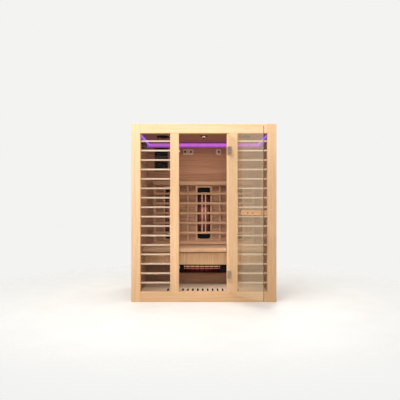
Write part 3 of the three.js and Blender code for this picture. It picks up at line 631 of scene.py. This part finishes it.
openingLow = box["front_bottom_rail"][1][2]
openingHigh = box["front_top_rail"][0][2]
slatCount = int((openingHigh - openingLow - front["slatHeight"]) / front["slatPitch"])
slatZ = (openingLow + openingHigh) / 2 + front["slatRise"] + row(slatCount, front["slatPitch"])
for side in ("left", "right"):
    low, high = box["window_slats_" + side]
    slatLow = put(low, 0, low[0] + front["slatHouse"] / 2)
    slatHigh = put(high, 0, high[0] - front["slatHouse"] / 2)
    boards("slats_window_" + side, *spaced(slatLow, slatHigh, 2, slatZ, front["slatHeight"] / 2), 0,
           front["slatArris"], "slatTimber", "window_slats_" + side)
    dress("window_pane_" + side, "windowGlass")
print("front frame made:", slatCount, "slats in each window")


# Door: glass, handles, hinges, strikes and catches

door = {"glassArris": 0.0012, "edgeStrip": 0.0006, "edgeArris": 0.0002, "handleArris": 0.007,
        "standOff": 0.040}

glassLow, glassHigh = closedBox("door_glass")
sheetEdge = glassLow[0] + door["edgeStrip"]
boards("glass_door", put(glassLow, 0, sheetEdge), glassHigh, 2, door["glassArris"], "doorGlassPaintedReflection", "door_glass",
       "door")
boards("glass_door_polished_edge", glassLow, put(glassHigh, 0, sheetEdge), 2, door["edgeArris"], "glassEdge",
       body="door", steps=1)

innerLow, innerHigh = closedBox("door_handle_inner")
outerLow, outerHigh = closedBox("door_handle_outer")
barBack = glassLow[1] - door["standOff"]
boards("handle_bar_inner", innerLow, innerHigh, 0, door["handleArris"], "handleTimber", "door_handle_inner",
       "door", steps=4)
boards("handle_bar_outer", outerLow, put(outerHigh, 1, barBack), 0, door["handleArris"], "handleTimber",
       "door_handle_outer", "door", steps=4)

# Bolts: spacers between bar and glass, thinner in the middle, and domed heads on the inner bar
bolt = {"spacing": 0.074, "barEnd": ((0.011, -0.002), (0.00946, 0.010)),
        "glassEnd": ((0.00946, -0.010), (0.011, -0.0004)),
        "head": ((0.0072, -0.0010), (0.0072, 0.0006), (0.0062, 0.0022), (0.0034, 0.0030), (0.0026, 0.0012))}
spacer = outline((0, barBack, bolt["barEnd"]), (0, glassLow[1], bolt["glassEnd"]))
boltHead = outline((0, innerHigh[1], bolt["head"]))
handleMiddle = (innerLow + innerHigh) / 2
for index, offset in enumerate(row(2, bolt["spacing"])):
    boltAt = handleMiddle * (1, 0, 1) + (offset, 0, 0)
    turned(f"handle_spacer_{index}", spacer, boltAt, 1, "handleTimber", body="door", sides=32)
    turned(f"handle_bolt_{index}", boltHead, boltAt, 1, "boltSteel", body="door", sides=24)

# Hinges, strikes and catches have an arris, a finish and a body
hardware = {"hinge_{}_base": (0.0007, "hingeSteel", "cabin"), "hinge_{}_pin": (0.0006, "hingeSteel", "cabin"),
            "hinge_{}_leaf": (0.0009, "hingeSteel", "door"), "strike_{}": (0.0004, "hingeSteel", "door"),
            "catch_{}": (0.0014, "catchPlastic", "cabin")}
screw = {"across": 0.33, "rises": (0.25, 0.75),
         "head": ((0.0042, -0.0005), (0.0042, 0.0004), (0.00336, 0.0011), (0.00189, 0.0012),
                  (0.00168, 0.0004))}

for level in ("upper", "lower"):
    for piece, values in hardware.items():
        softened(piece.format(level), *values)
    leafLow, leafHigh = closedBox(f"hinge_{level}_leaf")
    for index, rise in enumerate(screw["rises"]):
        screwAt = (leafLow + (leafHigh - leafLow) * (screw["across"], 0, rise)) * (1, 0, 1)
        for face, start, way in (("front", leafLow[1], -1), ("back", leafHigh[1], 1)):
            screwHead = outline((0, start, np.array(screw["head"]) * (1, way)))
            turned(f"hinge_screw_{level}_{index}_{face}", screwHead, screwAt, 1, "hingeSteel", body="door",
                   sides=20)
print("door made")


# Bench

bench = {"plank": 0.0932, "arris": 0.004, "nosingArris": 0.006, "rebate": 0.007, "rebateDepth": 0.008,
         "rebateArris": 0.001, "kickPlank": 0.089, "kickArris": 0.0020, "cleatArris": 0.003}

boards("boards_seat", *stack(*box["bench_seat"], 1, bench["plank"]), 0, bench["arris"], "benchTimber",
       "bench_seat")
low, high = box["bench_nosing"]
rebateTop = low[2] + bench["rebate"]
boards("timber_nosing", put(low, 2, rebateTop), high, 0, bench["nosingArris"], "benchTimber", "bench_nosing",
       steps=4)
# A strip set back under the nosing; its dark timber is a painted shadow line
boards("nosing_rebate_painted_shadow", put(low, 1, low[1] + bench["rebateDepth"]), put(high, 2, rebateTop), 0,
       bench["rebateArris"], "rebatePaintedShadow", steps=1)
kickLows, kickHighs = stack(*box["bench_kickboard"], 0, bench["kickPlank"])
cleatLow = box["seat_cleat_right"][0]
underCleat = (kickLows[:, 0] < -cleatLow[0]) | (kickHighs[:, 0] > cleatLow[0])
kickHighs[underCleat, 2] = cleatLow[2]
boards("boards_kickboard", kickLows, kickHighs, 2, bench["kickArris"], "kickTimberPaintedLight", "bench_kickboard",
       steps=1)
for side in ("left", "right"):
    boards("timber_cleat_" + side, *box["seat_cleat_" + side], 1, bench["cleatArris"], "benchTimber",
           "seat_cleat_" + side)
print("bench made")


# Backrest with its heaters

rest = {"topRail": 0.048, "bottomRail": 0.035, "slat": 0.026, "slatCount": 5, "slatThick": 0.018,
        "arris": 0.0026, "stile": 0.030, "upright": 0.017, "uprightShort": 0.001, "setBack": 0.002,
        "strip": 0.022, "stripThick": 0.016, "stripGap": 0.003, "stripArris": 0.002}

low, high = box["backrest_grille"]
slatBack = low[1] + rest["slatThick"]
zoneLow, zoneHigh = low[2] + rest["bottomRail"], high[2] - rest["topRail"]
slatGap = (zoneHigh - zoneLow - rest["slatCount"] * rest["slat"]) / (rest["slatCount"] + 1)
slatStarts = zoneLow + slatGap + np.arange(rest["slatCount"]) * (slatGap + rest["slat"])
boards("backrest_slats", put(low, 2, [low[2], zoneHigh, *slatStarts]),
       put(put(high, 1, slatBack), 2, [zoneLow, high[2], *(slatStarts + rest["slat"])]), 0, rest["arris"],
       "restTimberPaintedShade", "backrest_grille")

# Uprights stand between the heaters and at both ends, and strips frame each heater
heaterBoxes = {side: box["back_heater_housing_" + side] for side in ("left", "middle", "right")}
heaterX = np.array([(corners[0][0] + corners[1][0]) / 2 for corners in heaterBoxes.values()])
betweenX = (heaterX[:-1] + heaterX[1:]) / 2
halfUpright = rest["upright"] / 2
stripFront = slatBack + rest["setBack"]
stripBack = stripFront + rest["stripThick"]
boards("backrest_uprights", put([0, stripFront, low[2] + rest["uprightShort"]], 0,
                                [*(betweenX - halfUpright), low[0], high[0] - rest["stile"]]),
       put([0, high[1], high[2] - rest["uprightShort"]], 0,
           [*(betweenX + halfUpright), low[0] + rest["stile"], high[0]]), 2, rest["stripArris"], "restTimberPaintedShade")

stileLows, stileHighs, railLows, railHighs = [], [], [], []
for heaterLow, heaterHigh in heaterBoxes.values():
    holeLow, holeHigh = heaterLow - rest["stripGap"], heaterHigh + rest["stripGap"]
    for left in (holeLow[0] - rest["strip"], holeHigh[0]):
        stileLows.append([left, stripFront, holeLow[2] - rest["strip"]])
        stileHighs.append([left + rest["strip"], stripBack, holeHigh[2] + rest["strip"]])
    for bottom in (holeLow[2] - rest["strip"], holeHigh[2]):
        railLows.append([holeLow[0], stripFront, bottom])
        railHighs.append([holeHigh[0], stripBack, bottom + rest["strip"]])
boards("heater_frame_stiles", stileLows, stileHighs, 2, rest["stripArris"], "restTimberPaintedShade")
boards("heater_frame_rails", railLows, railHighs, 0, rest["stripArris"], "restTimberPaintedShade")

heater = {"arris": 0.0022, "wall": 0.010, "cap": 0.058, "floor": 0.008, "sheetGap": 0.001, "sheetLip": 0.006,
          "sheetClear": 0.002, "sheetSteps": 24, "tubeRadius": 0.0055, "tubeSpacing": 0.044,
          "tubeShort": 0.004, "block": 0.018, "blockArris": 0.003, "ribs": 5, "ribFront": 0.0010,
          "ribBack": 0.0034, "ribHalf": 0.0012, "ribArris": 0.0011}

for side, (heaterLow, heaterHigh) in heaterBoxes.items():
    softened("back_heater_housing_" + side, heater["arris"], "blackPlastic")
    left, right = heaterLow[0] + heater["wall"], heaterHigh[0] - heater["wall"]
    bottom, top = heaterLow[2] + heater["cap"], heaterHigh[2] - heater["cap"]
    lip = heaterLow[1] + heater["sheetLip"]
    sag = heaterHigh[1] - heater["floor"] - heater["sheetClear"] - lip
    bentSheet("reflector_" + side, [left + heater["sheetGap"], lip, bottom + heater["sheetGap"]],
              [right - heater["sheetGap"], lip, top - heater["sheetGap"]], sag, 0, heater["sheetSteps"],
              "reflector")
    elementLow, elementHigh = box["back_heater_element_" + side]
    tubeX = (elementLow[0] + elementHigh[0]) / 2 + row(2, heater["tubeSpacing"])
    tubeY = (elementLow[1] + elementHigh[1]) / 2
    radius = heater["tubeRadius"]
    tubeLow = [0, tubeY - radius, elementLow[2] + heater["tubeShort"]]
    tubeHigh = [0, tubeY + radius, elementHigh[2] - heater["tubeShort"]]
    boards("tubes_back_" + side, *spaced(tubeLow, tubeHigh, 0, tubeX, radius), 2, radius, "backGlow",
           "back_heater_element_" + side, steps=5)
    boards("tube_holders_" + side, *ends(elementLow, elementHigh, 2, heater["block"]), 0,
           heater["blockArris"], "whitePlastic")
    ribZ = np.linspace(bottom, top, heater["ribs"] + 2)[1:-1]
    ribLow = [left, heaterLow[1] + heater["ribFront"], 0]
    ribHigh = [right, heaterLow[1] + heater["ribBack"], 0]
    boards("guard_ribs_" + side, *spaced(ribLow, ribHigh, 2, ribZ, heater["ribHalf"]), 0, heater["ribArris"],
           "guardWire")

kick = {"arris": 0.0018, "cap": 0.078, "wall": 0.004, "tubeRadius": 0.005, "tubeSpacing": 0.025,
        "tubeRise": 0.012, "tubeShort": 0.004, "block": 0.014, "blockArris": 0.003, "sheetGap": 0.001,
        "sheetRise": 0.0015, "sheetLip": 0.012, "sheetClear": 0.003, "sheetSteps": 16, "wire": 0.006,
        "wireArris": 0.00288, "wirePitch": 0.057, "guardReach": 0.035}

softened("kick_heater_housing", kick["arris"], "blackPlastic")
low, high = box["kick_heater_housing"]
pocketLow = low + np.array([kick["cap"], 0, kick["wall"]])
pocketHigh = high - np.array([kick["cap"], kick["wall"], kick["wall"]])
middleZ = (pocketLow[2] + pocketHigh[2]) / 2
elementLow, elementHigh = box["kick_heater_element"]
tubeY = (elementLow[1] + elementHigh[1]) / 2
lowerZ, upperZ = middleZ + kick["tubeRise"] + row(2, kick["tubeSpacing"])
radius = kick["tubeRadius"]
tubeLow = [elementLow[0] + kick["tubeShort"], tubeY - radius, 0]
tubeHigh = [elementHigh[0] - kick["tubeShort"], tubeY + radius, 0]
boards("tube_kick_lower", *spaced(tubeLow, tubeHigh, 2, lowerZ, radius), 0, radius, "kickGlowDim",
       "kick_heater_element", steps=5)
boards("tube_kick_upper", *spaced(tubeLow, tubeHigh, 2, upperZ, radius), 0, radius, "kickGlow", steps=5)
boards("tube_holders_kick", *ends(elementLow, elementHigh, 0, kick["block"]), 2, kick["blockArris"],
       "blackPlastic")
lip = low[1] + kick["sheetLip"]
bentSheet("reflector_kick", [pocketLow[0] + kick["sheetGap"], lip, pocketLow[2] + kick["sheetRise"]],
          [pocketHigh[0] - kick["sheetGap"], lip, pocketHigh[2] - kick["sheetRise"]],
          pocketHigh[1] - kick["sheetClear"] - lip, 2, kick["sheetSteps"], "troughSteel")

low, high = box["kick_heater_guard"]
wireCount = int((high[0] - low[0] - kick["wire"]) / kick["wirePitch"])
wireX = (low[0] + high[0]) / 2 + row(wireCount, kick["wirePitch"])
wireZ = middleZ + row(2, 2 * kick["guardReach"])
boards("guard_uprights_kick", *spaced(low, high, 0, wireX, kick["wire"] / 2), 2, kick["wireArris"],
       "guardWire", "kick_heater_guard", steps=3)
boards("guard_runs_kick", *spaced(low, high, 2, wireZ, kick["wire"] / 2), 0, kick["wireArris"], "guardWire",
       steps=3)
print("backrest and heaters made")


# Lights, speakers, control panel, hooks and ioniser

light = {"strip": 0.030, "arris": 0.006}

low, high = box["light_strip"]
boards("light_strip_sides", *ends(low, high, 0, light["strip"]), 1, light["arris"], "sideGlow",
       "light_strip", steps=3)
boards("light_strip_back", [low[0] + light["strip"], high[1] - light["strip"], low[2]],
       put(high, 0, high[0] - light["strip"]), 0, light["arris"], "violetGlow", steps=3)

lamp = {"flange": 0.008, "rim": ((0, 0.004), (-0.003, 0.001)), "bodyRadius": 0.029,
        "dish": ((0.010, 0), (0.004, 0.002), (-0.001, 0.003)), "lensRadius": 0.018, "lensDrop": 0.014,
        "lensTuck": 0.002, "lensRings": 13, "litRings": 7, "neck": 0.0063,
        "finial": ((0.009, 0.001), (0.009, -0.003), (0.0054, -0.005), (0.0063, -0.008)),
        "tip": ((0.0036, 0.001), (0.001, 0))}

low, high = box["ceiling_lamp"]
lampAt = (low + high) / 2 * (1, 1, 0)
lampRadius = (high[0] - low[0]) / 2
ceilingLevel = ceilingLow[2]
flangeLevel = ceilingLevel - lamp["flange"]
lensLevel = flangeLevel - lamp["lensDrop"]
bezelProfile = outline((lampRadius, ceilingLevel, (0, 0)), (lampRadius, flangeLevel, lamp["rim"]),
                       (lamp["lensRadius"], flangeLevel, lamp["dish"]), (lamp["bodyRadius"], high[2], (0, 0)))
turned("lamp_bezel", bezelProfile, lampAt, 2, "lampBronze", "ceiling_lamp", sides=64)

# Lens: a quarter ellipse from the flange down to the finial's neck, lit above and bronze below
lensTurn = np.linspace(0, np.pi / 2, lamp["lensRings"])
lensTop = flangeLevel + lamp["lensTuck"]
lensCurve = np.column_stack([lamp["neck"] + (lamp["lensRadius"] - lamp["neck"]) * np.cos(lensTurn),
                             lensTop + (lensLevel - lensTop) * np.sin(lensTurn)])
turned("lamp_lens", lensCurve[:lamp["litRings"]], lampAt, 2, "lampGlow", sides=56)
turned("lamp_bowl", lensCurve[lamp["litRings"] - 1:], lampAt, 2, "lampBronze", sides=56)
finialProfile = outline((0, lensLevel, lamp["finial"]), (0, low[2], lamp["tip"]))
turned("lamp_finial", finialProfile, lampAt, 2, "lampBronze", sides=32)

speaker = {"bodyRadius": 0.057, "rim": ((0, 0.002), (-0.002, 0), (-0.008, 0)), "ringsIn": 0.010,
           "ringsTo": 0.012, "rings": 25, "ringLevel": 0.0022, "ringHeight": 0.0012,
           "centre": ((0.010, 0.001), (0.001, 0.0006))}

for side in ("left", "right"):
    low, high = box["speaker_" + side]
    rimRadius = (high[0] - low[0]) / 2
    rings = ripple(rimRadius - speaker["ringsIn"], speaker["ringsTo"], speaker["rings"], speaker["ringLevel"],
                   speaker["ringHeight"])
    profile = outline((speaker["bodyRadius"], high[2], (0, 0)), (speaker["bodyRadius"], ceilingLevel, (0, 0)),
                      (rimRadius, ceilingLevel, (0, 0)), (rimRadius, low[2], speaker["rim"]),
                      (0, low[2], rings), (0, low[2], speaker["centre"]))
    turned("speaker_grille_" + side, profile, (low + high) / 2 * (1, 1, 0), 2, "blackPlastic",
           "speaker_" + side, sides=64)

panel = {"arris": 0.0022}

softened("control_bezel", panel["arris"], "bezelPlastic")
dress("control_display", "panelGlass")

hook = {"spacing": 0.072, "plate": 0.014, "arris": 0.004, "waist": 0.0066, "waistShare": 0.5,
        "root": ((0.0105, 0.0005), (0.0105, -0.004), (0.0078, -0.007)),
        "knob": ((0.0078, 0.012), (0.0115, 0.008), (0.0120, 0.004), (0.0095, 0.0008), (0.003, 0))}

for side, pegs in (("left", 2), ("right", 1)):
    low, high = box["hook_rail_" + side]
    plateFront = high[1] - hook["plate"]
    boards("hook_plate_" + side, put(low, 1, plateFront), high, 0, hook["arris"], "plateTimber",
           "hook_rail_" + side, steps=3)
    reach = plateFront - low[1]
    pegProfile = outline((0, 0, hook["root"]), (hook["waist"], -hook["waistShare"] * reach, (0, 0)),
                         (0, -reach, hook["knob"]))
    for index, offset in enumerate(row(pegs, hook["spacing"])):
        pegAt = [(low[0] + high[0]) / 2 + offset, plateFront, (low[2] + high[2]) / 2]
        turned(f"hook_peg_{side}_{index}", pegProfile, pegAt, 1, "pegTimber", sides=32)

ioniser = {"radius": 0.038, "foot": ((-0.001, 0), (0, 0.003)), "base": 0.038, "capRadius": 0.029,
           "shoulder": ((0, -0.006), (-0.003, -0.001)), "capRoot": (0.0005, 0),
           "capEdge": ((0, -0.003), (-0.0015, 0)), "ventsFrom": 0.025, "ventsTo": 0.005, "vents": 13,
           "ventLevel": -0.0015, "ventHeight": -0.0018, "centre": (0.001, -0.001),
           "ring": ((-0.001, -0.010), (0.0012, -0.009), (0.0012, -0.005), (-0.001, -0.004))}

low, high = box["air_ioniser"]
ioniserAt = [low[0], (low[1] + high[1]) / 2, (low[2] + high[2]) / 2]
capFront = high[0] - low[0]
vents = ripple(ioniser["ventsFrom"], ioniser["ventsTo"], ioniser["vents"], ioniser["ventLevel"],
               ioniser["ventHeight"])
caseProfile = outline((ioniser["radius"], 0, ioniser["foot"]),
                      (ioniser["radius"], ioniser["base"], ioniser["shoulder"]),
                      (ioniser["capRadius"], ioniser["base"], ioniser["capRoot"]),
                      (ioniser["capRadius"], capFront, ioniser["capEdge"]),
                      (0, capFront, vents), (0, capFront, ioniser["centre"]))
turned("ioniser_case", caseProfile, ioniserAt, 0, "ioniserPlastic", "air_ioniser", sides=56)
ringProfile = outline((ioniser["capRadius"], capFront, ioniser["ring"]))
turned("ioniser_ring", ringProfile, ioniserAt, 0, "hingeSteel", sides=56)

inlet = {"arris": 0.0008, "pins": ((-0.009, 0, -0.002), (0, 0, 0.003), (0.009, 0, -0.002)),
         "pinLow": (-0.001, -0.027, -0.0025), "pinHigh": (0.001, -0.008, 0.0025), "pinArris": 0.0006}

softened("mains_inlet", inlet["arris"], "blackPlastic")
pinAt = put((inletLow + inletHigh) / 2, 1, inletHigh[1]) + inlet["pins"]
boards("inlet_pins", pinAt + inlet["pinLow"], pinAt + inlet["pinHigh"], 1, inlet["pinArris"], "hingeSteel")
dress("foot_heater", "heaterMat")
dress("power_supply", "hingeSteel")

# Strips that cover the edges of the ceiling on the sides and the back
boards("ceiling_edges", *ends(ceilingLow, ceilingHigh, 0, shell["edgeStrip"]), 1, shell["stripArris"],
       "cladding")
boards("ceiling_edge_rear", put(betweenLow, 1, betweenHigh[1]), put(ceilingHigh, 0, betweenHigh[0]), 0,
       shell["stripArris"], "cladding")
print("fittings made")


# Floor, light and camera

studio = {"floorSize": 14.0, "floorRings": 24, "floorSides": 72, "floorHole": 0.02, "floorDrop": 0.0005,
          "floorColour": tint(238, 236, 232), "floorShade": tint(232, 230, 226), "floorRough": 0.6,
          "floorNoise": {"Scale": 3.0, "Detail": 4.0}, "floorBounce": tint(172, 140, 104), "clearFrom": 1.2,
          "clearAt": 3.4, "sky": tint(236, 236, 234), "skyStrength": 0.86, "backdrop": tint(243, 243, 241),
          "lensPixels": 500.0, "imagePixels": 400.0, "centreX": 203.85, "horizonY": 206.0, "sensor": 36.0,
          "distance": 5.30, "eyeHeight": 1.018}


def seenRays(tree):  # 1 for rays that show the background, 0 for its light
    ray = tree.nodes.new("ShaderNodeLightPath")
    seen = ray.outputs["Is Camera Ray"]
    for kind in ("Is Glossy Ray", "Is Transmission Ray"):
        most = tree.nodes.new("ShaderNodeMath")
        most.operation = "MAXIMUM"
        tree.links.new(seen, most.inputs[0])
        tree.links.new(ray.outputs[kind], most.inputs[1])
        seen = most.outputs[0]
    return seen


# The floor is a disc: rings of points out from the middle, clear at its rim
floorRings, floorSides = studio["floorRings"], studio["floorSides"]
floorReach = np.linspace(studio["floorHole"], studio["floorSize"] / 2, floorRings)[:, None]
floorTurn = np.linspace(0, 2 * np.pi, floorSides, endpoint=False)
floorPoints = np.stack([floorReach * np.cos(floorTurn), floorReach * np.sin(floorTurn),
                        np.full((floorRings, floorSides), -studio["floorDrop"])], axis=-1)
floorFaces = ringFaces(1, floorRings, floorSides)[:, ::-1].tolist() + [list(range(floorSides))]
floor = addObject("studio_floor", makeMesh("studio_floor", floorPoints.reshape(-1, 3), floorFaces))
floorFinish = Finish("studio_floor", {"Roughness": studio["floorRough"]})
floorPlace = floorFinish.place()
cloud = floorFinish.noise(floorPlace, studio["floorNoise"])
paleFloor = floorFinish.ramp(cloud, [(0.3, studio["floorShade"]), (0.7, studio["floorColour"])])
floorSeen = floorFinish.blend(seenRays(floorFinish.tree), studio["floorBounce"], paleFloor)
floorFinish.feed(floorSeen, "Base Color")
fromMiddle = floorFinish.node("VectorMath", operation="LENGTH")
fade = floorFinish.node("MapRange", {"From Min": studio["clearFrom"], "From Max": studio["clearAt"],
                                     "To Min": 1.0, "To Max": 0.0}, interpolation_type="SMOOTHSTEP")
floorFinish.join(floorPlace, fromMiddle.inputs[0])
floorFinish.join(fromMiddle.outputs["Value"], fade.inputs["Value"])
floorFinish.feed(fade.outputs["Result"], "Alpha")
floor.data.materials.append(floorFinish.material)

world = bpy.data.worlds.new("studio")
world.use_nodes = True
scene.world = world
tree = world.node_tree
sky = tree.nodes["Background"]
sky.inputs["Color"].default_value = studio["sky"]
sky.inputs["Strength"].default_value = studio["skyStrength"]
backdrop = tree.nodes.new("ShaderNodeBackground")
backdrop.inputs["Color"].default_value = studio["backdrop"]
either = tree.nodes.new("ShaderNodeMixShader")
tree.links.new(seenRays(tree), either.inputs[0])
tree.links.new(sky.outputs[0], either.inputs[1])
tree.links.new(backdrop.outputs[0], either.inputs[2])
tree.links.new(either.outputs[0], tree.nodes["World Output"].inputs[0])

# Lamps: where each is, what it is aimed at, its size, power and cone in degrees, and if it shows in mirrors
underLamp = 0.01
insideAt = (0, float(lampAt[1]), float(box["ceiling_lamp"][0][2]) - underLamp)
lamps = {"key": ((-0.9, -2.7, 3.7), (0, -0.4, 1.1), 2.0, 116, 180, True),
         "front": ((0.0, -5.0, 1.35), (0, 0, 0.5), 0.7, 0.85, 18, False),
         "inside": (insideAt, (0, insideAt[1], 0), 0.12, 4.6, 180, False),
         "rear": ((1.5, 4.0, 3.4), (0, 0, 1.0), 3.0, 70, 180, True)}
for name, (at, aim, size, power, cone, mirrored) in lamps.items():
    data = bpy.data.lights.new(name, "AREA")
    data.energy = power
    data.size = size
    data.spread = math.radians(cone)
    made = addObject(name, data)
    made.location = at
    made.visible_camera = False
    made.visible_glossy = mirrored
    way = np.subtract(aim, at)
    flatWay = math.hypot(way[0], way[1])
    made.rotation_euler = (math.atan2(flatWay, -way[2]), 0, math.atan2(way[1], way[0]) - math.pi / 2)

cameraData = bpy.data.cameras.new("camera")
cameraData.sensor_width = studio["sensor"]
cameraData.lens = studio["sensor"] * studio["lensPixels"] / studio["imagePixels"]
cameraData.shift_x = (studio["imagePixels"] / 2 - studio["centreX"]) / studio["imagePixels"]
cameraData.shift_y = (studio["horizonY"] - studio["imagePixels"] / 2) / studio["imagePixels"]
camera = addObject("camera", cameraData)
camera.location = (0, box["front_post_left"][0][1] - studio["distance"], studio["eyeHeight"])
camera.rotation_euler = (math.pi / 2, 0, 0)
scene.camera = camera
scene.view_settings.view_transform = "Standard"
print("studio made")
